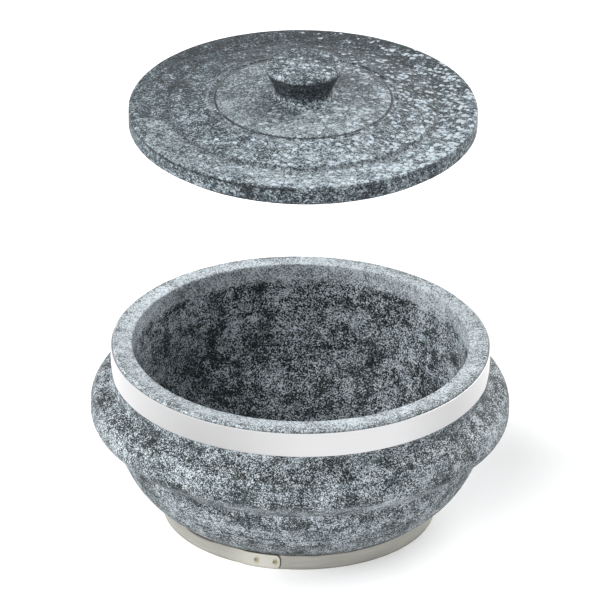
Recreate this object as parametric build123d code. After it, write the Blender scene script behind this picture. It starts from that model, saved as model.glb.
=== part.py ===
from build123d import *
from math import cos, degrees, radians, sin
import os

# A lidded cooking pot turned from stone, strapped with steel at its rim and its foot.
# Millimetres. +Z is up, the origin is the centre of the foot on the bench, and -Y is the front.

# ---- stone bowl: overall ----
bowl_height = 88.0          # bench to the top of the rim
neck_radius = 89.4          # turned neck that the rim band clasps
foot_radius = 64.1          # turned foot that the foot ring clasps

# ---- stone bowl: rim and cavity ----
rim_wall = 9.4              # stone between the neck and the opening
rim_outer_round = 1.6
rim_inner_round = 0.8
cavity_lean = 3.5           # how far the cavity's wall leans inwards from rim to floor
cavity_corner = 34.0        # radius that turns the wall into the floor
floor_thickness = 12.0

# ---- stone bowl: carrying flange ----
cove_drop = 6.9             # band's lower edge down to the corner where the flange starts
cove_round = 4.5
flange_reach = 10.2         # how far the nose stands out from the neck
flange_fall = 3.2           # how far the flange's upper side falls from neck to nose
flange_nose = 13.2          # height of the nose between its upper and lower corners
flange_top_round = 9.8
flange_low_round = 6.0
flange_undercut = 10.2      # height of the sloping underside

# ---- stone bowl: lower bowl and foot ----
crease_inset = 1.8          # the crease under the flange lies this far inside the neck
crease_round = 2.0
bowl_bulge = 4.0            # how far the lower bowl swells out from a straight cone
shoulder_overhang = 0.8     # stone standing out past the foot ring's face
shoulder_round = 0.6

# ---- steel straps: strip bent to a ring, its outer end lapped over its inner end ----
strap_thickness = 0.6
strap_fit = 0.05            # radial clearance between a strap and the stone
lap_length = 15.0           # overlap of the two ends
lap_gap = 0.06              # clearance between the two layers of the lap
lap_step = 5.0              # length over which the outer layer steps up
end_round = 2.6             # corners of the outer end
weld_diameter = 2.6         # nugget of a spot weld
weld_inset = 3.0            # first weld from the outer end
weld_pitch = 9.0            # second weld from the first
rim_band_width = 12.4
rim_band_drop = 1.7         # top of the rim down to the band
rim_band_end = 94.0         # direction of the rim band's outer end, degrees from +X
foot_ring_width = 7.5
foot_ring_gap = 0.5         # clearance between the foot ring and the stone's shoulder
foot_ring_end = 262.4       # direction of the foot ring's outer end, degrees from +X

# ---- stone lid: disc ----
lid_lap = 2.5               # how far the lid reaches out past the opening
lid_edge = 8.4              # thickness at the edge
lid_top_round = 1.0
lid_under_round = 0.6
lid_seat_gap = 0.2          # clearance to the rim when the lid is down
lid_lift = 116.0            # how far the lid is held up from its seat
boss_clearance = 1.5        # radial clearance of the locating boss in the opening
boss_depth = 3.0
boss_round = 1.0

# ---- stone lid: turned top, with heights above the edge's top ----
step_radius = 63.0          # outer step
step_width = 1.2
step_height = 1.5
step_round = 0.8
bead_radius = 43.8          # crest of the bead round the crown
bead_width = 2.6
bead_foot_height = 4.9
bead_swell = 0.45
crown_radius = 41.2         # raised crown inside the bead
crown_height = 5.3
crown_round = 0.5
groove_width = 1.3          # groove between bead and crown
groove_depth = 0.9

# ---- stone lid: knob, with heights above the edge's top ----
knob_height = 24.0          # crest of the domed top
knob_dome = 1.0             # rise of the domed top
knob_radius = 19.35         # corner of the cap, before it is rounded
knob_round = 2.2
knob_foot_radius = 12.0     # corner where the taper meets the crown
knob_foot_height = 7.3
knob_flare = 3.5

# ---- worked out from the above ----
opening_radius = neck_radius - rim_wall
band_low = bowl_height - rim_band_drop - rim_band_width
foot_height = foot_ring_width + foot_ring_gap
shoulder_radius = foot_radius + strap_fit + strap_thickness + shoulder_overhang
lid_radius = opening_radius + lid_lap
lid_underside = bowl_height + lid_seat_gap + lid_lift


def turned(outline, rounds):
    """A solid turned about +Z from an outline of radius and height, with its corners rounded."""
    face = make_face(Curve() + outline)
    for corner, radius in rounds:
        face = fillet(face.vertices().sort_by_distance(corner)[0], radius)
    return revolve(Plane.XZ * face, Axis.Z)


def stone_bowl():
    """Rim, neck, flange, lower bowl and foot as one stone, hollowed from above."""
    nose_radius = neck_radius + flange_reach
    rim_outer = (neck_radius, bowl_height)
    rim_inner = (opening_radius, bowl_height)
    cove = (neck_radius, band_low - cove_drop)
    nose_top = (nose_radius, cove[1] - flange_fall)
    nose_low = (nose_radius, nose_top[1] - flange_nose)
    crease = (neck_radius - crease_inset, nose_low[1] - flange_undercut)
    shoulder = (shoulder_radius, foot_height)
    floor_corner = (opening_radius - cavity_lean, floor_thickness)
    outline = [
        Polyline(crease, nose_low, nose_top, cove, rim_outer, rim_inner, floor_corner,
                 (0, floor_thickness), (0, 0), (foot_radius, 0), (foot_radius, foot_height), shoulder),
        SagittaArc(shoulder, crease, -bowl_bulge),
    ]
    rounds = [
        (crease, crease_round),
        (nose_low, flange_low_round),
        (nose_top, flange_top_round),
        (cove, cove_round),
        (rim_outer, rim_outer_round),
        (rim_inner, rim_inner_round),
        (floor_corner, cavity_corner),
        (shoulder, shoulder_round),
    ]
    return turned(outline, rounds)


def stone_lid():
    """A disc with a locating boss below, and a step, a bead, a crown and a knob above."""
    top = lid_underside + lid_edge
    boss_radius = opening_radius - boss_clearance
    boss = (boss_radius, lid_underside - boss_depth)
    edge_low = (lid_radius, lid_underside)
    edge_top = (lid_radius, top)
    step_top = (step_radius, top + step_height)
    bead_outside = (bead_radius + bead_width / 2, top + bead_foot_height)
    bead_inside = (bead_radius - bead_width / 2, top + bead_foot_height)
    groove = (crown_radius + groove_width / 2, top + crown_height - groove_depth)
    crown = (crown_radius, top + crown_height)
    knob_foot = (knob_foot_radius, top + knob_foot_height)
    knob_cap = (knob_radius, top + knob_height - knob_dome)
    knob_crest = (0, top + knob_height)
    outline = [
        Polyline(knob_crest, (0, boss[1]), boss, (boss_radius, lid_underside), edge_low, edge_top,
                 (step_radius + step_width, top), step_top, bead_outside),
        SagittaArc(bead_outside, bead_inside, bead_swell),
        Polyline(bead_inside, groove, crown, knob_foot, knob_cap),
        TangentArc(knob_crest, knob_cap, tangent=(1, 0)),
    ]
    rounds = [
        (boss, boss_round),
        (edge_low, lid_under_round),
        (edge_top, lid_top_round),
        (step_top, step_round),
        (crown, crown_round),
        (knob_foot, knob_flare),
        (knob_cap, knob_round),
    ]
    return turned(outline, rounds)


def weld(radius, length, angle, height):
    """A spot weld's nugget, which joins the middles of a lap's two layers."""
    nugget = Cylinder(weld_diameter / 2, length, align=(Align.CENTER, Align.CENTER, Align.MIN))
    return Rot(0, 0, angle) * Pos(radius, 0, height) * Rot(0, 90, 0) * nugget


def strap(seat_radius, width, low_edge, end_direction):
    """A strip bent round a turned seat: its outer end steps up and is welded over its inner end."""
    inner = seat_radius + strap_fit
    outer = inner + strap_thickness
    rise = strap_thickness + lap_gap
    lap = degrees(lap_length / outer)
    step = degrees(lap_step / outer)

    def at(radius, angle):
        return (radius * cos(radians(angle)), radius * sin(radians(angle)))

    outline = [
        CenterArc((0, 0), inner, -lap, 360 - step),
        Line(at(inner, -lap - step), at(inner + rise, -lap)),
        CenterArc((0, 0), inner + rise, -lap, lap),
        Line(at(inner + rise, 0), at(outer + rise, 0)),
        CenterArc((0, 0), outer + rise, -lap, lap),
        Line(at(outer + rise, -lap), at(outer, -lap - step)),
        CenterArc((0, 0), outer, -lap, 360 - step),
        Line(at(outer, -lap), at(inner, -lap)),
    ]
    ring = extrude(make_face(Curve() + outline), width)
    ring = fillet(ring.edges().filter_by(Axis.X), end_round)
    for inset in (weld_inset, weld_inset + weld_pitch):
        ring += weld(inner + strap_thickness / 2, rise, -degrees(inset / outer), width / 2)
    return Rot(0, 0, end_direction) * Pos(0, 0, low_edge) * ring


parts = {
    "stone_bowl": stone_bowl(),
    "rim_band": strap(neck_radius, rim_band_width, band_low, rim_band_end),
    "foot_ring": strap(foot_radius, foot_ring_width, 0, foot_ring_end),
    "stone_lid": stone_lid(),
}

os.makedirs("parts", exist_ok=True)
for name, solid in parts.items():
    export_step(solid, f"parts/{name}.step")
    size = solid.bounding_box().size
    print(name, "volume", round(solid.volume), "size", [round(s, 2) for s in size])
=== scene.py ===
# %% [markdown]
# # A lidded stone pot with steel straps
# The pot is turned from one block of grey-green stone, and so is its lid. A stainless strap clasps
# the rim and another clasps the foot, because hot stone can crack and the straps hold it together.
# The CAD model comes first, as a fixed frame: it has the true shape and size of each piece, in
# metres, with the middle of the foot at the origin and the front towards -Y. Everything made here
# is laid over it.

# %% Load the fixed frame
from math import atan2, cos, pi, radians, sin, tau

import bmesh
import bpy
from mathutils import Euler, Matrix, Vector, noise


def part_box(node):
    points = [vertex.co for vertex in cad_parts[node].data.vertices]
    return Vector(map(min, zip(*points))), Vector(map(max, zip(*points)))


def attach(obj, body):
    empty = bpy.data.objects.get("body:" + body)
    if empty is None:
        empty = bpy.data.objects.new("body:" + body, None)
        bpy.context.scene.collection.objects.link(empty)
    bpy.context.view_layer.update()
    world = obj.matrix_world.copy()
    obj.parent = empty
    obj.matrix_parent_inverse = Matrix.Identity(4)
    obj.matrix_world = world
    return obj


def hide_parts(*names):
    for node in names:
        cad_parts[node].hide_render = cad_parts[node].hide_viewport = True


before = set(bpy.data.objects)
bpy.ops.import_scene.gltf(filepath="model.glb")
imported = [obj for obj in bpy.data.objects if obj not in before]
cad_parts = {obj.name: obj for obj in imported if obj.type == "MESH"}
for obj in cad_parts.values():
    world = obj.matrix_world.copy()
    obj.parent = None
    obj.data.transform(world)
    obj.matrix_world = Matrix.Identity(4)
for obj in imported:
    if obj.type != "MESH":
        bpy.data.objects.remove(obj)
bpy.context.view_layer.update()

MM = 0.001          # one millimetre, in the frame's metres

# %% [markdown]
# ## The turned outline
# A lathe makes every surface of the stone from one outline, so the outline is all that the script
# needs. It could be drawn again by hand, but the CAD model already has it exactly: its mesh is
# copied, its loose triangles are merged, and two cuts through the axis leave just the line where
# the half plane to the right of the axis meets the stone. Long straight runs are then divided,
# since the surface gets its small unevenness later and needs points to carry it.

# %% Take the outlines from the CAD solids
SAME_POINT = 1e-6       # metres, and points nearer than this are one point
POINT_GAP = 1.9 * MM    # longest run of an outline between two points


def outline_of(node):
    """The line where the half plane x > 0, y = 0 meets a turned CAD solid, as a bmesh."""
    line = bmesh.new()
    line.from_mesh(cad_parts[node].data)
    bmesh.ops.remove_doubles(line, verts=line.verts, dist=SAME_POINT)
    for normal, clear_outer in (((1, 0, 0), False), ((0, 1, 0), True)):
        bmesh.ops.bisect_plane(
            line, geom=[*line.verts, *line.edges, *line.faces], dist=SAME_POINT, plane_co=(0, 0, 0),
            plane_no=normal, clear_inner=True, clear_outer=clear_outer)
    for edge in list(line.edges):
        cuts = int(edge.calc_length() / POINT_GAP)
        if cuts:
            bmesh.ops.subdivide_edges(line, edges=[edge], cuts=cuts)
    return line


bowl_stone = outline_of("stone_bowl")
lid_stone = outline_of("stone_lid")
print("outline points:", len(bowl_stone.verts), "in the bowl,", len(lid_stone.verts), "in the lid")

# %% [markdown]
# ## The score line on the lid
# Just under the top of the lid's edge the turning tool has left a fine line, deep on the left and
# fading out to the right. It is real relief, so it needs its own points: the outline is cut at the
# line's height and a little above and below it. The middle points are sunk later, when the stone
# gets its wear, and the line is then also painted dark with painted shade.

# %% Cut the lid's outline at its score line
SCORE = 211.2 * MM      # height of the line
SCORE_DEPTH = 0.35 * MM

for height in (SCORE - 0.45 * MM, SCORE, SCORE + 0.3 * MM):
    bmesh.ops.bisect_plane(
        lid_stone, geom=[*lid_stone.verts, *lid_stone.edges], dist=SAME_POINT, plane_co=(0, 0, height),
        plane_no=(0, 0, 1))
print("outline points in the scored lid:", len(lid_stone.verts))

# %% [markdown]
# ## Turning
# The spin operator turns the outline about the axis, as the lathe does. One wedge is spun step by
# step and then copied round, which is quicker than a full turn. A full spin leaves doubled points
# along its seam and at both poles, so these are merged before the faces are told which way is out.

# %% Turn the two stones
AROUND = 360        # steps in a full turn
WEDGES = 12         # wedges in a full turn


def turn(stone):
    """Spins an outline about the axis, in place, and closes the skin that it makes."""
    bmesh.ops.spin(
        stone, geom=[*stone.verts, *stone.edges], cent=(0, 0, 0), axis=(0, 0, 1),
        angle=tau / WEDGES, steps=AROUND // WEDGES)
    bmesh.ops.spin(
        stone, geom=[*stone.verts, *stone.edges, *stone.faces], cent=(0, 0, 0), axis=(0, 0, 1),
        angle=tau - tau / WEDGES, steps=WEDGES - 1, use_duplicate=True)
    bmesh.ops.remove_doubles(stone, verts=stone.verts, dist=SAME_POINT)
    bmesh.ops.recalc_face_normals(stone, faces=stone.faces)
    stone.normal_update()


turn(bowl_stone)
turn(lid_stone)
print("turned faces:", len(bowl_stone.faces), "in the bowl,", len(lid_stone.faces), "in the lid")

# %% [markdown]
# ## Where the finish changes
# A used pot isn't the same all over. Dust stays in its hollow corners, and these corners and the
# place under the knob's cap are painted dark with dust and with painted shade. Its outer corners are
# painted pale, partly as rubbing and partly as a painted highlight, and the rim's top and the lid's
# crown are painted paler, partly as grinding and partly as painted light on faces that look up.
# Cooking oil gathers on the faces that look up or inwards. All of this follows from the shape, so
# each point gets a value for it in a layer of its own, and the material reads these layers as
# attributes. They could be painted by hand, but then they would have to be painted again each time
# that the shape changes.

# %% Mark hollows and painted shade, corners, ground and top-lit faces, and oil
CORNER = 0.16               # faces that turn by more than this, in radians, meet at a corner
HOLLOW = (0.35, 1.35)       # inward turns, in radians, where dust and painted shade begin and where they are full
UNDER_CAP = 22 * MM, 20 * MM    # the shade under the knob's cap ends between these radii


def smooth_step(low, high, x):
    """Rises smoothly from 0 at low to 1 at high, or falls where low is the larger."""
    t = min(1.0, max(0.0, (x - low) / (high - low)))
    return t * t * (3 - 2 * t)


def turns_at(vert):
    """How far the skin turns at each edge of a point, in radians. A hollow turns below zero."""
    return [edge.calc_face_angle_signed(0) for edge in vert.link_edges]


def mark_finish(stone, upper, inner, outer, fade, cap_shade):
    """Marks a stone. Its level faces above upper are ground and top-lit, from radius inner to outer and a
    fade.
    """
    names = ("hollow", "arris", "ground_and_lit", "oiled")
    hollow, arris, ground_and_lit, oiled = [stone.verts.layers.float.new(name) for name in names]
    for vert in stone.verts:
        turns = turns_at(vert)
        radius = vert.co.xy.length
        above = vert.co.z > upper
        # painted shade under the knob's cap, on the faces above upper that look down
        downward = smooth_step(0.35, -0.3, vert.normal.z)
        under_cap = cap_shade * above * downward * smooth_step(*UNDER_CAP, radius)
        outwards = vert.normal.xy.dot(vert.co.xy.normalized())
        ring = smooth_step(inner - 4 * MM, inner + 4 * MM, radius) * smooth_step(outer + fade, outer, radius)
        # hollow holds dust and painted shade in the inward corners, and painted shade under the cap
        vert[hollow] = max(smooth_step(*HOLLOW, -min(turns)), under_cap)
        # arris is later painted pale, partly as rubbing and partly as a painted highlight
        vert[arris] = smooth_step(0.7 * CORNER, 3 * CORNER, max(turns))
        # the faces that look up are later painted paler, partly as grinding and partly as painted top light
        vert[ground_and_lit] = smooth_step(-0.5, 0.3, vert.normal.z) * above * ring
        vert[oiled] = smooth_step(0.2, -0.2, outwards - vert.normal.z)


mark_finish(bowl_stone, upper=80 * MM, inner=0, outer=82 * MM, fade=14 * MM, cap_shade=0)
mark_finish(lid_stone, upper=206 * MM, inner=18 * MM, outer=41.5 * MM, fade=0.5 * MM, cap_shade=0.85)
print("marks on each stone:", lid_stone.verts.layers.float.keys())

# %% [markdown]
# ## Hand finish and wear
# Real stone never comes off the lathe perfectly smooth: it is soft, coarse and finished by hand.
# Each point is sunk a little along its normal by smooth noise, for long gentle waves, and the
# outer corners also lose small chips. The lid's score line is sunk here too. A bump in the material
# could fake all of it, but only real relief shows on the outline. Points only ever move inwards, so
# the piece stays within its true size.

# %% Wear the two stones
WAVE = 14 * MM          # length of the slow waves
WAVE_DEPTH = 0.16 * MM
CHIP = 2.2 * MM         # size of the chips along corners
FINER = 2.3             # a second set of chips is this much finer


def wear_down(stone, chip_depth, score=None):
    """Sinks the points of a turned stone by waves, by chips and by a score line at its edge, and paints
    shade into that line.
    """
    hollow = stone.verts.layers.float["hollow"]
    widest = max(v.co.x for v in stone.verts)
    sunk = {}
    for vert in stone.verts:
        depth = WAVE_DEPTH * (0.5 + 0.5 * noise.noise(vert.co / WAVE))
        wear = smooth_step(CORNER, 3 * CORNER, max(turns_at(vert)))
        if wear:
            bite = noise.noise(vert.co / CHIP) + 0.5 * noise.noise(vert.co / CHIP * FINER)
            depth += chip_depth * wear * smooth_step(0, 0.8, bite)
        if score is not None and abs(vert.co.z - score) < SAME_POINT and vert.co.xy.length > 0.9 * widest:
            fading = noise.noise(vert.co / (2 * WAVE)) - vert.co.x / (6 * WAVE)
            scored = smooth_step(-0.35, 0.1, fading)
            depth += SCORE_DEPTH * scored
            # the score line is painted dark, as painted shade in the groove
            vert[hollow] = scored
        sunk[vert] = vert.normal * -depth
    # the dust and painted shade spread a little to the points beside them
    beside = {v: 0.8 * max(e.other_vert(v)[hollow] for e in v.link_edges) ** 2 for v in stone.verts}
    for vert, shift in sunk.items():
        vert.co += shift
        vert[hollow] = max(vert[hollow], beside[vert])
    return max(shift.length for shift in sunk.values())


bowl_sunk = wear_down(bowl_stone, 0.3 * MM)
lid_sunk = wear_down(lid_stone, 0.08 * MM, SCORE)
print("deepest wear in mm:", round(bowl_sunk / MM, 2), "on the bowl,", round(lid_sunk / MM, 2), "on the lid")

# %% [markdown]
# ## Bowl and lid
# Each worn stone becomes an object with smooth shading, and the edges that turn sharply stay crisp.
# The bowl belongs to the pot, which stands still, and the lid is a body of its own, which lifts.

# %% Make the bowl and the lid
STONE_CRISP = 50        # edges that turn by more degrees than this stay crisp


def piece_from(shape, name, crisp):
    """Puts a finished bmesh into the scene as an object of that name."""
    mesh = bpy.data.meshes.new(name)
    shape.to_mesh(mesh)
    shape.free()
    mesh.shade_smooth()
    mesh.set_sharp_from_angle(angle=radians(crisp))
    piece = bpy.data.objects.new(name, mesh)
    bpy.context.collection.objects.link(piece)
    print(name, "faces:", len(mesh.polygons))
    return piece


bowl = piece_from(bowl_stone, "stone_bowl_turned", STONE_CRISP)
lid = piece_from(lid_stone, "stone_lid_turned", STONE_CRISP)
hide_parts("stone_bowl")
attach(bowl, "pot")
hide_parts("stone_lid")
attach(lid, "lid")

# %% [markdown]
# ## A flat strip for a strap
# Each strap is a strip of thin stainless sheet, cut to length, with the corners of its outer end
# rounded. It is bent round the stone, pulled tight, lapped over its own start and spot welded. The
# model is made the same way: a flat strip with rounded corners is cut across into short lengths,
# given its thickness and a fine bevel, and only then wrapped round. Working flat keeps the width
# and the thickness true, and the strip's own length and width become its UV map, which the rolling
# lines in its finish follow later.

# %% Cut a flat strip
STRIP = 0.6 * MM            # sheet thickness
LAP = 15 * MM               # overlap of the two ends
END_ROUND = 2.6 * MM
BURR = 0.09 * MM            # the fine bevel that deburring leaves
FINE = 0.35 * MM            # spacing of the cuts round the lap
FINE_START = 2 * LAP        # length at the strip's inner end that is cut finely
FINE_END = 1.4 * LAP        # length at its outer end that is cut finely
ROWS = 16                   # rows of faces across the strip


def flat_strip(length, width, pitch):
    """A strip from x = 0 to length and y = 0 to width, cut across at every pitch, far end rounded."""
    strip = bmesh.new()
    bmesh.ops.create_grid(strip, x_segments=1, y_segments=1, size=0.5)
    bmesh.ops.translate(strip, verts=strip.verts, vec=(0.5, 0.5, 0))
    bmesh.ops.scale(strip, verts=strip.verts, vec=(length, width, 1))
    bmesh.ops.bevel(
        strip, geom=[v for v in strip.verts if v.co.x > length / 2], offset=END_ROUND,
        offset_type="OFFSET", affect="VERTICES", segments=8, profile=0.5, material=-1)
    stations = [FINE_START + i * pitch for i in range(int((length - FINE_START - FINE_END) / pitch))]
    stations += [i * FINE for i in range(1, int(FINE_START / FINE))]
    stations += [length - i * FINE for i in range(1, int(FINE_END / FINE))]
    rows = [i * width / ROWS for i in range(1, ROWS)]
    for co, no in [((x, 0, 0), (1, 0, 0)) for x in stations] + [((0, y, 0), (0, 1, 0)) for y in rows]:
        bmesh.ops.bisect_plane(
            strip, geom=[*strip.verts, *strip.edges, *strip.faces], dist=SAME_POINT, plane_co=co,
            plane_no=no)
    strip_map = strip.loops.layers.uv.new("along_and_across")
    for face in strip.faces:
        for loop in face.loops:
            loop[strip_map].uv = loop.vert.co.xy
    bmesh.ops.solidify(strip, geom=strip.faces, thickness=STRIP)
    bmesh.ops.recalc_face_normals(strip, faces=strip.faces)
    rim = [e for e in strip.edges if e.calc_face_angle(0) > 1]
    bmesh.ops.bevel(
        strip, geom=rim, offset=BURR, offset_type="OFFSET", affect="EDGES", segments=2, profile=0.5,
        material=-1)
    return strip


print("strip:", round(STRIP / MM, 2), "mm thick, lapped over", round(LAP / MM, 1), "mm")

# %% [markdown]
# ## Welds, heat, grime and painted shade
# Two spot welds hold the lap. Each one is a small dent that the welding tip has pressed in, with a
# straw to brown tint blown out beside it, and the dent is painted dark, partly as painted shade.
# Dark dirt lies along the strap's edges. Painted shadow joins it in the line where the outer end
# stops and along the top edge, most where that edge stands off the stone, and the outer end is
# painted brighter as a painted highlight. The dents are real relief, and the rest goes into point
# layers, as on the stone.

# %% Mark the strip and press its welds
WELDS = (3 * MM, 12 * MM)   # spot welds, from the outer end
WELD_RADIUS = 0.9 * MM
WELD_DEPTH = 0.16 * MM
GRIME_AND_SHADE_WAVE = 9 * MM         # length of the waves in the edge of the dirt and painted shadow


def mark_strip(strip, length, width, dirt_and_shade):
    """Marks a strip's heat, its grime with painted shadow, and its end's painted highlight. The last
    argument is how much dirt and shadow its edges take.
    """
    names = ("weld_heat", "lap_grime_and_shade", "painted_highlight_end")
    heat, grime_and_shade, bright = [strip.verts.layers.float.new(name) for name in names]
    top = max(v.co.z for v in strip.verts)
    for vert in strip.verts:
        along, across = vert.co.x, vert.co.y
        back = length - along
        aside = across - width / 2
        dent = 0
        blown = 1 + 0.5 * noise.noise((along / MM, across / MM, 0))
        for weld in WELDS:
            away = Vector(((back - weld) / 0.45, aside / 1.5)).length
            dent = max(dent, smooth_step(WELD_RADIUS, 0.3 * WELD_RADIUS, away))
            away = Vector((back - weld + WELD_RADIUS, aside / 1.4)).length * blown
            vert[heat] = max(vert[heat], smooth_step(2.0 * WELD_RADIUS, 0.3 * WELD_RADIUS, away))
        past_end = Vector((along - LAP + END_ROUND, max(0, abs(aside) - width / 2 + END_ROUND)))
        past_end = past_end.length - END_ROUND if past_end.x > 0 else -END_ROUND
        uneven = 0.5 + 0.5 * noise.noise((along / GRIME_AND_SHADE_WAVE, 0, 0))
        loose = smooth_step(2 * LAP, 2.5 * LAP, back) * smooth_step(4 * LAP, 3.3 * LAP, back)
        reach = (0.35 + 0.8 * uneven ** 2 + 1.1 * loose) * MM
        # painted shadow, with dirt, along the top edge, widest where the stone stands off the strap
        top_edge = dirt_and_shade * smooth_step(reach, (0.1 + 0.7 * loose) * MM, width - across)
        low_edge = 0.4 * dirt_and_shade * smooth_step(1.2 * MM, 0, across)
        # the weld dents are painted dark, partly as painted shade
        vert[grime_and_shade] = max(top_edge, low_edge, 0.9 * dent)
        # dirt and painted shadow in the line where the outer end stops
        if along < 2 * LAP:
            vert[grime_and_shade] = max(vert[grime_and_shade], smooth_step(0.8 * MM, 0.1 * MM, abs(past_end)))
        # painted highlight that brightens the strip towards its outer end
        vert[bright] = smooth_step(2.2 * LAP, 0.5 * LAP, back)
        if top - vert.co.z < STRIP / 2:
            vert.co.z -= dent * WELD_DEPTH


print("spot welds in mm from the outer end:", [round(weld / MM, 1) for weld in WELDS])

# %% [markdown]
# ## Bending the strap
# The marked strip is wrapped round the stone: its length becomes an angle and its thickness a
# radius. Where the strip comes round to its own start it steps up by its thickness and a hair's
# clearance. The place of the outer end is read from the CAD ring, so that both agree.

# %% Bend the two straps round the stone
LAP_GAP = 0.06 * MM         # clearance between the two layers
LAP_STEP = 5 * MM           # length over which the outer layer steps up
STRAP_CRISP = 40            # edges that turn by more degrees than this stay crisp


def lap_end(node, outer):
    """Direction of the strap's outer end: the last point of the CAD ring that stands out."""
    spots = [v.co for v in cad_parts[node].data.vertices]
    high = [p for p in spots if p.xy.length > outer + 0.8 * STRIP]
    middle = sum(high, Vector()) / len(high)
    around = [p.xy.angle_signed(middle.xy) for p in high]
    return atan2(middle.y, middle.x) + max(around)


def strap(node, pitch, dirt_and_shade):
    """A strap laid over the CAD node of that name."""
    low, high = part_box(node)
    outer = -low.x
    middle = outer - STRIP / 2
    width = high.z - low.z
    length = tau * middle + LAP
    end = lap_end(node, outer)
    strip = flat_strip(length, width, pitch)
    top = max(v.co.z for v in strip.verts)
    mark_strip(strip, length, width, dirt_and_shade)
    for vert in strip.verts:
        back = length - vert.co.x
        lift = (STRIP + LAP_GAP) * smooth_step(LAP + LAP_STEP, LAP, back)
        radius = outer + lift - (top - vert.co.z)
        angle = end - back / middle
        vert.co = (radius * cos(angle), radius * sin(angle), low.z + vert.co.y)
    strip.normal_update()
    bmesh.ops.recalc_face_normals(strip, faces=strip.faces)
    piece = piece_from(strip, node + "_strip", STRAP_CRISP)
    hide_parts(node)
    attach(piece, "pot")
    print(node, "length in mm:", round(length / MM, 1))
    return piece


rim_band = strap("rim_band", 1.6 * MM, 0)
foot_ring = strap("foot_ring", 1.3 * MM, 0.85)

# %% [markdown]
# ## Tools for the finishes
# Colours are written as sRGB hex values, the way they are picked on a screen, and one function
# turns them into the linear light that the renderer works with. One more adds a node, sets its
# values and makes its links. Patterns are placed by Object coordinates, which are metres here, so a
# texture's scale is one divided by the size of its grain.

# %% Colour and node helpers
def linear(hex_colour):
    """An sRGB hex colour as linear red, green, blue and alpha."""
    parts = [int(hex_colour[i:i + 2], 16) / 255 for i in (1, 3, 5)]
    return (*[c / 12.92 if c <= 0.04045 else ((c + 0.055) / 1.055) ** 2.4 for c in parts], 1)


def add(tree, kind, inputs=None, **settings):
    """Adds a node with its settings. An input takes a value, or an output socket to link from."""
    node = tree.nodes.new("ShaderNode" + kind)
    for key, value in settings.items():
        setattr(node, key, value)
    for key, value in (inputs or {}).items():
        if isinstance(value, bpy.types.NodeSocket):
            tree.links.new(value, node.inputs[key])
        else:
            node.inputs[key].default_value = value
    return node


def per(size_mm):
    """The texture scale that makes one cell of a pattern this many millimetres."""
    return 1 / (size_mm * MM)


def new_finish(name):
    """A new material with its node tree and its shader."""
    material = bpy.data.materials.new(name)
    material.use_nodes = True
    return material, material.node_tree, material.node_tree.nodes["Principled BSDF"]


print("middle grey in linear light:", round(linear("#808080")[0], 3))

# %% [markdown]
# ## Two looks from one stone
# The bowl and the lid come from different blocks of the same kind of stone. One material function
# will make both, so the stone is first written down as two sets of values, and the lid's says only
# what differs. Sizes and the relief are in millimetres, a fleck's reach and softness are parts of
# its gap, a share is how much a part counts, span is how far the sum of the tones runs either side
# of its middle, and the two values that end in _towards point to the side that gains, per metre.
# On the lid they paint its level faces lighter towards the front, as painted light, and crowd its
# flecks towards the front right, partly as painted glints. The lid takes no oil. The real grain is
# finer than half a millimetre, and one under 0.4 mm wouldn't show from where the camera stands, so
# none is drawn finer than that.

# %% Give the stones their looks
bowl_looks = {
    "lean": (0, 0, 0), "stretch": (1, 1, 1), "shake": 0.25,
    "grain": 0.41, "grain_share": 1.0, "speck_share": 0.15,
    "mottle": 5.0, "mottle_share": 1.55, "cloud_share": 1.0, "ring_share": 0.4,
    "painted_light_towards": (0, 0, 0), "span": 0.41, "oil_depth": 0.8, "oil_from": 0.8,
    "greys": ("#0b1113", "#242c30", "#4b565b", "#788388", "#c2ccd4"),
    "fleck_gap": 8.5, "fleck_reach": 0.4, "fleck_soft": 0.25, "fleck_share": 0.85,
    "fleck_low": 0.35, "fleck_upright": 1.0, "fleck_ragged": 0.2,
    "flecks_and_glints_towards": (0, 0, 0), "fleck": "#b2c2ce",
    "warm_share": 0.45, "rust": "#b0a48e", "rust_share": 0.15,
    # faces that look up are painted paler, partly as grinding and partly as painted top light
    "ground_and_lit": "#c3cbcf", "ground_and_lit_share": 0.22, "ground_and_lit_gain": 0.3,
    # dust with painted shade in the hollows, and corners rubbed pale and painted with a highlight
    "dust_and_shade_share": 0.3, "rubbed_and_highlight_share": 0.25,
    "bump": 0.6, "relief": 0.06, "rough": (0.55, 0.8),
}
lid_looks = dict(bowl_looks, **{
    "lean": (0, 0, 0.35), "stretch": (0.85, 1, 1), "shake": 1.1,
    "grain": 0.5, "grain_share": 0.75, "speck_share": 0.35,
    "mottle": 6.0, "mottle_share": 1.2, "cloud_share": 0.6, "ring_share": 0.3,
    # painted light: the lid's level faces are painted lighter towards the front
    "painted_light_towards": (0.1, -3.2, 0), "oil_depth": 0.0,
    "greys": ("#080d0f", "#1b2327", "#38434a", "#5d6971", "#a0abb2"),
    "fleck_gap": 2.1, "fleck_reach": 0.8, "fleck_soft": 0.12, "fleck_share": 0.95,
    "fleck_low": 0.5, "fleck_upright": 0.3, "fleck_ragged": 0.35,
    # partly painted glints: the lid's flecks crowd towards the front right on level faces
    "flecks_and_glints_towards": (4.4, -2.2, 0), "fleck": "#c6d3dd",
    "warm_share": 0.3, "rust_share": 0.3,
    # the lid's crown is painted paler, partly as grinding and partly as painted top light
    "ground_and_lit": "#8b9292", "ground_and_lit_share": 0.12, "ground_and_lit_gain": 0.14,
    # the lid's hollows, groove lines and the place under its cap take much painted shade, with dust
    "dust_and_shade_share": 0.95,
})
changed = [key for key in bowl_looks if lid_looks[key] != bowl_looks[key]]
print("the lid's stone differs in", len(changed), "of", len(bowl_looks), "values")

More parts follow.
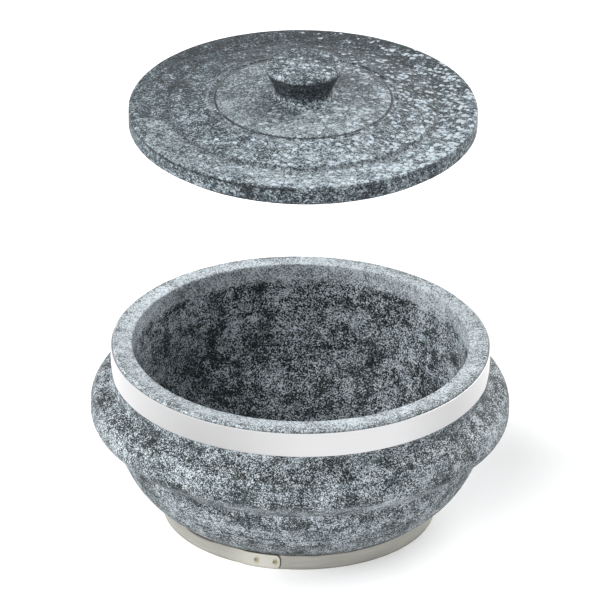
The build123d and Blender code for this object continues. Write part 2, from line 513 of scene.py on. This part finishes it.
# %% [markdown]
# ## Places on the stone
# The bowl's stone is massive and the same in all directions, while the lid's is foliated: its
# layers lean, which stretches its pattern a little. The bowl's grains have nearly straight edges
# and the lid's are ragged. Both come from the same idea: the place at which a pattern is read is
# first leaned and stretched, and then shaken by a fine noise.

# %% Lean, stretch and shake the place
SHAKE_SIZE = 0.9        # mm, size of the shakes


def places_on(tree, looks):
    """A point's true place, its place in the pattern, that place shaken, and how level its face is."""
    point = add(tree, "TexCoord").outputs
    pattern = add(tree, "Mapping", {
        "Vector": point["Object"], "Rotation": looks["lean"], "Scale": looks["stretch"]}).outputs["Vector"]
    shake = add(tree, "TexNoise", {"Vector": pattern, "Scale": per(SHAKE_SIZE), "Detail": 2.0})
    shake = add(tree, "VectorMath", {0: shake.outputs["Color"], 1: (0.5, 0.5, 0.5)}, operation="SUBTRACT")
    shake = add(tree, "VectorMath", {0: shake.outputs[0], "Scale": looks["shake"] * MM}, operation="SCALE")
    shaken = add(tree, "VectorMath", {0: pattern, 1: shake.outputs[0]}, operation="ADD").outputs[0]
    upward = add(tree, "SeparateXYZ", {"Vector": point["Normal"]}).outputs["Z"]
    level = add(tree, "MapRange", {"Value": upward, "From Min": 0.3, "From Max": 0.9}).outputs["Result"]
    return point["Object"], pattern, shaken, level


print("shake in mm:", bowl_looks["shake"], "in the bowl,", lid_looks["shake"], "in the lid")

# %% [markdown]
# ## Grain and tone
# Close up the stone is a tight mass of dark, grey-blue and whitish grains, and from further off it
# clouds gently lighter and darker. It is built the same way, from the small up: cells with a random
# tone each for the grains and for coarser specks, a rough noise for mottling a few millimetres
# wide, a slow one for the clouds, and a noise that is read by radius and height only, for the faint
# rings that turning leaves. Their weighted sum is the tone, from dark to pale. Painted light is
# added to it as well: level faces grow lighter towards one side, and faces that look up grow paler,
# partly as grinding and partly as painted top light.

# %% Sum up the stone's tone
SPECK = 1.7             # specks are this much coarser than the grains
CLOUD = 13              # mm, size of the clouds
TOOL_RING = 1.8         # mm, spacing of the turning rings


def tone_on(tree, places, looks):
    """The stone's tone with its painted light, and the grains, specks, mottling and ground and top-lit faces
    that its other parts read.
    """
    true_place, pattern, shaken, level = places
    grain = add(tree, "TexVoronoi", {"Vector": shaken, "Scale": per(looks["grain"])})
    grain = add(tree, "SeparateColor", {"Color": grain.outputs["Color"]}).outputs
    speck = add(tree, "TexVoronoi", {"Vector": shaken, "Scale": per(SPECK * looks["grain"])})
    speck = add(tree, "SeparateColor", {"Color": speck.outputs["Color"]}).outputs
    mottle = add(tree, "TexNoise", {
        "Vector": pattern, "Scale": per(looks["mottle"]), "Detail": 6.0, "Roughness": 0.75}).outputs["Fac"]
    cloud = add(tree, "TexNoise", {
        "Vector": pattern, "Scale": per(CLOUD), "Detail": 2.0, "Roughness": 0.6}).outputs["Fac"]
    radius = add(tree, "VectorMath", {0: shaken, 1: (1, 1, 0)}, operation="MULTIPLY")
    radius = add(tree, "VectorMath", {0: radius.outputs[0]}, operation="LENGTH").outputs["Value"]
    height = add(tree, "SeparateXYZ", {"Vector": shaken}).outputs["Z"]
    rings = add(tree, "CombineXYZ", {"X": radius, "Z": height}).outputs["Vector"]
    rings = add(tree, "TexNoise", {"Vector": rings, "Scale": per(TOOL_RING), "Detail": 3.0}).outputs["Fac"]
    # paler faces that look up: partly grinding and partly painted top light
    ground_and_lit = add(tree, "Attribute", attribute_name="ground_and_lit").outputs["Fac"]
    # painted light: level faces grow lighter towards the side that gains
    painted_light = add(tree, "VectorMath", {0: true_place, 1: looks["painted_light_towards"]}, operation="DOT_PRODUCT")
    painted_light = add(tree, "Math", {0: painted_light.outputs["Value"], 1: level}, operation="MULTIPLY").outputs[0]
    patterns = (
        (grain[0], looks["grain_share"]), (speck[0], looks["speck_share"]),
        (mottle, looks["mottle_share"]), (cloud, looks["cloud_share"]), (rings, looks["ring_share"]))
    tone = 0.0
    for part, share in (*patterns, (painted_light, 1.0), (ground_and_lit, looks["ground_and_lit_gain"])):
        tone = add(tree, "Math", {0: part, 1: share, 2: tone}, operation="MULTIPLY_ADD").outputs[0]
    middle = 0.5 * sum(share for part, share in patterns)
    tone = add(tree, "MapRange", {
        "Value": tone, "From Min": middle - looks["span"], "From Max": middle + looks["span"]})
    return tone.outputs["Result"], grain, speck, mottle, ground_and_lit


print("finest grain in mm:", bowl_looks["grain"], "in the bowl,", lid_looks["grain"], "in the lid")

# %% [markdown]
# ## Oil
# Oil fills the pores between the grains, as water does on a wet pebble, so the dark grains go
# darker and the palest stand out more. The tone is therefore spread apart round a turning point,
# and only as far as the stone is oiled. A plain darker colour would lose the contrast.

# %% Let the oil soak in
def oiled_tone(tree, tone, looks):
    """The tone, spread apart round oil_from where the stone is oiled."""
    oiled = add(tree, "Attribute", attribute_name="oiled").outputs["Fac"]
    apart = add(tree, "Math", {0: tone, 1: looks["oil_from"]}, operation="SUBTRACT").outputs[0]
    apart = add(tree, "Math", {0: apart, 1: looks["oil_depth"]}, operation="MULTIPLY").outputs[0]
    return add(
        tree, "Math", {0: apart, 1: oiled, 2: tone}, operation="MULTIPLY_ADD", use_clamp=True).outputs[0]


DRY = 0.4               # a dark tone, to show what oil does
soaked = DRY + (DRY - bowl_looks["oil_from"]) * bowl_looks["oil_depth"]
print("a tone of", DRY, "in the bowl becomes", round(soaked, 2), "where it is oiled")

# %% [markdown]
# ## Pale flecks
# Some minerals stand out as pale patches: wide soft ones in the bowl, and small crowded ones in the
# lid, where they lie thickest towards the front right and show most on level faces, which is partly
# painted glints. They are cells again. Each cell draws a random chance, only those past a half get a
# fleck, and a higher chance gives it a longer reach. The specks nibble at its edge, so that no fleck
# is a plain round dot.

# %% Place the flecks
FLECK_CHANCE = 0.5      # a cell gets a fleck when its chance is above this


def flecks_on(tree, places, grain, speck, looks):
    """How strongly a pale fleck covers each point of the stone."""
    true_place, pattern, shaken, level = places
    cell = add(tree, "TexVoronoi", {"Vector": shaken, "Scale": per(looks["fleck_gap"])}).outputs
    chance = add(tree, "SeparateColor", {"Color": cell["Color"]}).outputs[0]
    # partly painted glints: on level faces the chance rises towards one side
    side = add(tree, "VectorMath", {0: true_place, 1: looks["flecks_and_glints_towards"]}, operation="DOT_PRODUCT")
    chance = add(tree, "Math", {
        0: side.outputs["Value"], 1: level, 2: chance}, operation="MULTIPLY_ADD").outputs[0]
    reach = add(tree, "MapRange", {
        "Value": chance, "From Min": FLECK_CHANCE, "To Max": looks["fleck_reach"]})
    edge = add(tree, "Math", {
        0: speck[1], 1: looks["fleck_ragged"], 2: cell["Distance"]}, operation="MULTIPLY_ADD")
    within = add(tree, "Math", {0: reach.outputs["Result"], 1: edge.outputs[0]}, operation="SUBTRACT")
    fleck = add(tree, "MapRange", {
        "Value": within.outputs[0], "From Max": looks["fleck_soft"], "To Max": looks["fleck_share"]})
    fleck = fleck.outputs["Result"]
    grainy = add(tree, "MapRange", {"Value": grain[1], "To Min": looks["fleck_low"]}).outputs["Result"]
    # partly painted glints: flecks show less on upright faces
    shown = add(tree, "MapRange", {"Value": level, "To Min": looks["fleck_upright"]}).outputs["Result"]
    for share in (grainy, shown):
        fleck = add(tree, "Math", {0: fleck, 1: share}, operation="MULTIPLY").outputs[0]
    return fleck


for stone_part, looks in (("bowl", bowl_looks), ("lid", lid_looks)):
    print(stone_part, "fleck's longest reach in mm:", round(looks["fleck_reach"] * looks["fleck_gap"], 1))

# %% [markdown]
# ## What lies over the grain
# The flecks, the warm grains and a breath of iron rust are in the stone from the start. Then the
# faces that look up are painted paler, partly as grinding and partly as painted top light, the
# hollows and the place under the knob's cap are painted dark, though never evenly, with dust and
# painted shade, and the outer corners are painted pale, partly as rubbing and partly as a painted
# highlight. Each is a colour with a share that says how much of it shows, in the order in which it
# comes to the real stone. Dust, painted shade and tints darken what they cover, so they are
# multiplied in, and the pale ones are mixed.

# %% List the stains, the painted shade and the painted light
WARM_GRAIN = "#cdbb9c"
# dust, and painted shade in the hollows, in the score line and under the knob's cap
DUST_AND_SHADE = "#2e3335"
# outer corners, rubbed and painted with a highlight
RUBBED_AND_HIGHLIGHT = "#aab2b4"
RUST_SIZE = 21          # mm, size of the rusty clouds


def stains_on(tree, pattern, speck, mottle, ground_and_lit, fleck, looks):
    """Share, colour and blend of everything that lies over the grain, painted light and shade among it, from
    first to last.
    """
    warm = add(tree, "MapRange", {"Value": speck[2], "From Min": 0.5, "To Max": looks["warm_share"]})
    rust = add(tree, "TexNoise", {
        "Vector": pattern, "Scale": per(RUST_SIZE), "Detail": 4.0, "Roughness": 0.6}).outputs["Fac"]
    rust = add(tree, "MapRange", {
        "Value": rust, "From Min": 0.55, "From Max": 0.75, "To Max": looks["rust_share"]},
        interpolation_type="SMOOTHSTEP")
    # painted top light, with grinding, on the faces that look up
    pale = add(tree, "Math", {0: ground_and_lit, 1: looks["ground_and_lit_share"]}, operation="MULTIPLY")
    broken = add(tree, "MapRange", {
        "Value": mottle, "From Min": 0.38, "From Max": 0.52, "To Min": 0.25 * looks["dust_and_shade_share"],
        "To Max": looks["dust_and_shade_share"]}).outputs["Result"]
    hollow = add(tree, "Attribute", attribute_name="hollow").outputs["Fac"]
    # painted shade and dust in the hollows, broken up by the mottling
    dust_and_shade = add(tree, "Math", {0: hollow, 1: broken}, operation="MULTIPLY")
    arris = add(tree, "Attribute", attribute_name="arris").outputs["Fac"]
    # painted highlight and rubbing on the outer corners
    rubbed_and_highlight = add(tree, "Math", {0: arris, 1: looks["rubbed_and_highlight_share"]}, operation="MULTIPLY")
    return (
        (fleck, looks["fleck"], "MIX"), (warm.outputs["Result"], WARM_GRAIN, "MULTIPLY"),
        (rust.outputs["Result"], looks["rust"], "MULTIPLY"), (pale.outputs[0], looks["ground_and_lit"], "MIX"),
        (dust_and_shade.outputs[0], DUST_AND_SHADE, "MULTIPLY"), (rubbed_and_highlight.outputs[0], RUBBED_AND_HIGHLIGHT, "MIX"))


# the dust colour also paints shade, and the rubbed colour a highlight
print("stains in linear light:", [[round(c, 2) for c in linear(s)[:3]] for s in (WARM_GRAIN, DUST_AND_SHADE, RUBBED_AND_HIGHLIGHT)])

# %% [markdown]
# ## Turned stone
# The tone picks one of five greys, and the stains are laid over that colour one by one, with the
# painted shade and the painted light among them. The surface is matt, since it is left as the tool
# leaves it, and a little glossier on some specks than on others. Hard pale grains stand slightly
# proud of the soft ones, so the same tones drive the bump.

# %% Stone for the bowl and the lid
def stone(name, looks):
    """Turned natural stone, matt and granular. It gives the eye a tight salt-and-pepper grain."""
    material, tree, shader = new_finish(name)
    places = places_on(tree, looks)
    tone, grain, speck, mottle, ground_and_lit = tone_on(tree, places, looks)
    tone = oiled_tone(tree, tone, looks)
    fleck = flecks_on(tree, places, grain, speck, looks)

    ramp = add(tree, "ValToRGB", {"Fac": tone})
    stops = ramp.color_ramp.elements
    for between in (0.25, 0.5, 0.75):
        stops.new(between)
    for stop, grey in zip(stops, looks["greys"]):
        stop.color = linear(grey)
    colour = ramp.outputs["Color"]
    for share, stain, blend in stains_on(tree, places[1], speck, mottle, ground_and_lit, fleck, looks):
        colour = add(
            tree, "Mix", {0: share, 6: colour, 7: linear(stain)}, data_type="RGBA",
            blend_type=blend).outputs[2]
    tree.links.new(colour, shader.inputs["Base Color"])

    relief = 0.0
    for part, share in ((tone, 0.6), (fleck, 0.3), (speck[1], 0.35)):
        relief = add(tree, "Math", {0: part, 1: share, 2: relief}, operation="MULTIPLY_ADD").outputs[0]
    bump = add(tree, "Bump", {"Height": relief, "Strength": looks["bump"], "Distance": looks["relief"] * MM})
    tree.links.new(bump.outputs["Normal"], shader.inputs["Normal"])
    matt = add(tree, "MapRange", {
        "Value": speck[2], "To Min": looks["rough"][0], "To Max": looks["rough"][1]})
    tree.links.new(matt.outputs["Result"], shader.inputs["Roughness"])
    shader.inputs["IOR"].default_value = 1.5
    shader.inputs["Specular IOR Level"].default_value = 0.3
    print(name, "nodes:", len(tree.nodes))
    return material


bowl.data.materials.append(stone("grey_green_stone_turned", bowl_looks))
lid.data.materials.append(stone("foliated_stone_turned", lid_looks))

# %% [markdown]
# ## Steel
# Both straps are stainless sheet. The rim's is polished nearly to a mirror, so it takes its colour
# from the pale room. The foot's is plainer, with the rolling mill's fine lines along the strip. The
# lines come from noise that is stretched fifty times along the strip's own UV map, and the weld's
# tint, the outer end's painted highlight and the grime with its painted shadow from the layers
# marked on the strip. Real mill lines are a few hundredths of a millimetre apart, far too fine to
# show, so they are drawn a third to a half of a millimetre apart.

# %% Polished and satin stainless
HEAT_TINTS = ((0.3, "#f4efe2"), (0.6, "#ddd2b8"), (0.9, "#b9ac93"))     # straw, then brown
HEAT_CORE = "#97896f"
# dirt and painted shadow along the strap's edges, in its weld dents and at the lap
GRIME_AND_SHADE = "#4a443b"
SMEAR_SIZE = 7          # mm, size of the smears that make the polish uneven


def steel(name, colours, end_colour, rough, line_gap, line_depth, heat_share):
    """Rolled stainless strip. It gives the eye fine lines along the strap and a soft or sharp shine."""
    material, tree, shader = new_finish(name)
    strip = add(tree, "UVMap", uv_map="along_and_across").outputs["UV"]
    lines = add(tree, "Mapping", {"Vector": strip, "Scale": (0.02, 1, 1)}).outputs["Vector"]
    lines = add(tree, "TexNoise", {"Vector": lines, "Scale": per(line_gap), "Detail": 3.0}).outputs["Fac"]
    smear = add(tree, "Mapping", {"Vector": strip, "Scale": (0.35, 1, 1)}).outputs["Vector"]
    smear = add(tree, "TexNoise", {"Vector": smear, "Scale": per(SMEAR_SIZE), "Detail": 4.0}).outputs["Fac"]
    shine = add(tree, "MapRange", {
        "Value": smear, "From Min": 0.3, "From Max": 0.7, "To Min": rough[0], "To Max": rough[1]})
    tree.links.new(shine.outputs["Result"], shader.inputs["Roughness"])

    heat = add(tree, "Attribute", attribute_name="weld_heat").outputs["Fac"]
    uneven = add(tree, "MapRange", {"Value": smear, "From Min": 0.35, "From Max": 0.6, "To Min": 0.75})
    heat = add(tree, "Math", {0: heat, 1: uneven.outputs["Result"]}, operation="MULTIPLY").outputs[0]
    tint = add(tree, "ValToRGB", {"Fac": heat})
    for at, colour in HEAT_TINTS:
        tint.color_ramp.elements.new(at).color = linear(colour)
    tint.color_ramp.elements[0].color = linear("#ffffff")
    tint.color_ramp.elements[-1].color = linear(HEAT_CORE)

    shade = add(tree, "MapRange", {"Value": lines, "From Min": 0.3, "From Max": 0.7}).outputs["Result"]
    # painted highlight towards the outer end
    bright = add(tree, "Attribute", attribute_name="painted_highlight_end").outputs["Fac"]
    # dirt, with painted shadow at the lap, the dents and along the top edge
    grime_and_shade = add(tree, "Attribute", attribute_name="lap_grime_and_shade").outputs["Fac"]
    base = linear(colours[0])
    for share, over, blend in (
            (shade, linear(colours[1]), "MIX"), (bright, linear(end_colour), "MIX"),
            (heat_share, tint.outputs["Color"], "MULTIPLY"), (grime_and_shade, linear(GRIME_AND_SHADE), "MULTIPLY")):
        base = add(
            tree, "Mix", {0: share, 6: base, 7: over}, data_type="RGBA", blend_type=blend).outputs[2]
    tree.links.new(base, shader.inputs["Base Color"])
    bump = add(tree, "Bump", {"Height": lines, "Strength": 0.5, "Distance": line_depth * MM})
    tree.links.new(bump.outputs["Normal"], shader.inputs["Normal"])
    shader.inputs["Metallic"].default_value = 1.0
    print(name, "nodes:", len(tree.nodes))
    return material


rim_band.data.materials.append(steel(
    "stainless_strip_polished", colours=("#c1c1c2", "#bfbfc0"), end_colour="#c1c1c2",
    rough=(0.07, 0.1), line_gap=0.5, line_depth=0.0004, heat_share=0.3))
# the satin strap's outer end is painted brighter by end_colour, as a painted highlight
foot_ring.data.materials.append(steel(
    "stainless_strip_satin", colours=("#b3b2ab", "#9c9a93"), end_colour="#cbc9c1",
    rough=(0.3, 0.45), line_gap=0.35, line_depth=0.01, heat_share=0.9))

# %% [markdown]
# ## Floor and sky
# The pot stands on a large floor under a white sky, as in a small studio. The floor is matt white
# paint that gives the eye nothing but a soft shadow, with a faint glow of its own so that it stays
# nearly white between the lights. The sky shines fully into the steel and the camera, but adds only
# a little to matt surfaces, or it would wash out the shape that the lights give the stone.

# %% Floor and sky
FLOOR_HALF = 30         # metres from the middle of the floor to its edge
SKY = 0.06              # what the sky adds to matt surfaces

floor_mesh = bmesh.new()
bmesh.ops.create_grid(floor_mesh, x_segments=1, y_segments=1, size=FLOOR_HALF)
floor_data = bpy.data.meshes.new("studio_floor")
floor_mesh.to_mesh(floor_data)
floor_mesh.free()
floor = bpy.data.objects.new("studio_floor", floor_data)
bpy.context.collection.objects.link(floor)
floor_paint, _, floor_shader = new_finish("matt_white_paint")
for socket, value in (
        ("Base Color", linear("#f7f7f7")), ("Roughness", 0.9), ("Specular IOR Level", 0.0),
        ("Emission Color", linear("#ffffff")), ("Emission Strength", 0.15)):
    floor_shader.inputs[socket].default_value = value
floor_data.materials.append(floor_paint)

sky = bpy.data.worlds.new("studio_sky")
sky.use_nodes = True
sky_tree = sky.node_tree
ray = add(sky_tree, "LightPath").outputs
seen = add(sky_tree, "Math", {0: ray["Is Diffuse Ray"], 1: SKY - 1.0, 2: 1.0}, operation="MULTIPLY_ADD")
sky_tree.links.new(seen.outputs[0], sky_tree.nodes["Background"].inputs["Strength"])
sky_tree.nodes["Background"].inputs["Color"].default_value = linear("#ffffff")
scene = bpy.context.scene
scene.world = sky
scene.view_settings.view_transform = "Standard"
print("floor of", 2 * FLOOR_HALF, "m, and a sky that adds", SKY)

# %% [markdown]
# ## Lights
# Three large soft lights shape the stone: a key low on the left, one from the front left that
# reaches under the lid, and the strongest from behind on the right, which rakes over the rim and
# the lid. A studio would use soft boxes. A sun lamp with a wide angle gives the same soft shadow
# and needs no care about its distance.

# %% Set the lights
def soft_light(name, azimuth, elevation, softness, strength):
    """A large far light, softness degrees wide. Azimuth 0 shines from the front, 90 from the right."""
    a, e = radians(azimuth), radians(elevation)
    away = Vector((sin(a) * cos(e), -cos(a) * cos(e), sin(e)))
    lamp = bpy.data.lights.new(name, "SUN")
    lamp.angle = radians(softness)
    lamp.energy = strength
    light = bpy.data.objects.new(name, lamp)
    light.location = away
    light.rotation_euler = away.to_track_quat("Z", "Y").to_euler()
    bpy.context.collection.objects.link(light)


soft_light("key_left", azimuth=-93, elevation=28, softness=40, strength=2.55)
soft_light("front_left", azimuth=-31, elevation=35, softness=45, strength=2.4)
soft_light("back_right", azimuth=133, elevation=31, softness=55, strength=3.7)

# %% [markdown]
# ## Camera
# The camera stands far back with a long lens, so that the rim's ellipse is almost as flat as in a
# drawing. It looks down by 27.55 degrees at a point beside the axis, about midway up, and rolls a
# little. All of this is set by numbers, so the view is the same on every run.

# %% Set the camera
SENSOR = 36.0           # mm
LENS = 1126.5           # mm
DOWN = radians(27.55)
ROLL = 0.0113           # radians
AWAY = 8.9              # metres
AIM = Vector((-0.0005, 0, 0.1103))

camera_data = bpy.data.cameras.new("far_camera")
camera_data.sensor_width = SENSOR
camera_data.lens = LENS
camera_data.clip_start, camera_data.clip_end = 0.5, 100
camera = bpy.data.objects.new("far_camera", camera_data)
camera.location = AIM + Vector((0, -cos(DOWN), sin(DOWN))) * AWAY
tilt = Euler((pi / 2 - DOWN, 0, 0)).to_matrix()
roll = Euler((0, 0, ROLL)).to_matrix()
camera.rotation_euler = (tilt @ roll).to_euler()
bpy.context.collection.objects.link(camera)
scene.camera = camera
print("camera at", [round(x, 2) for x in camera.location])
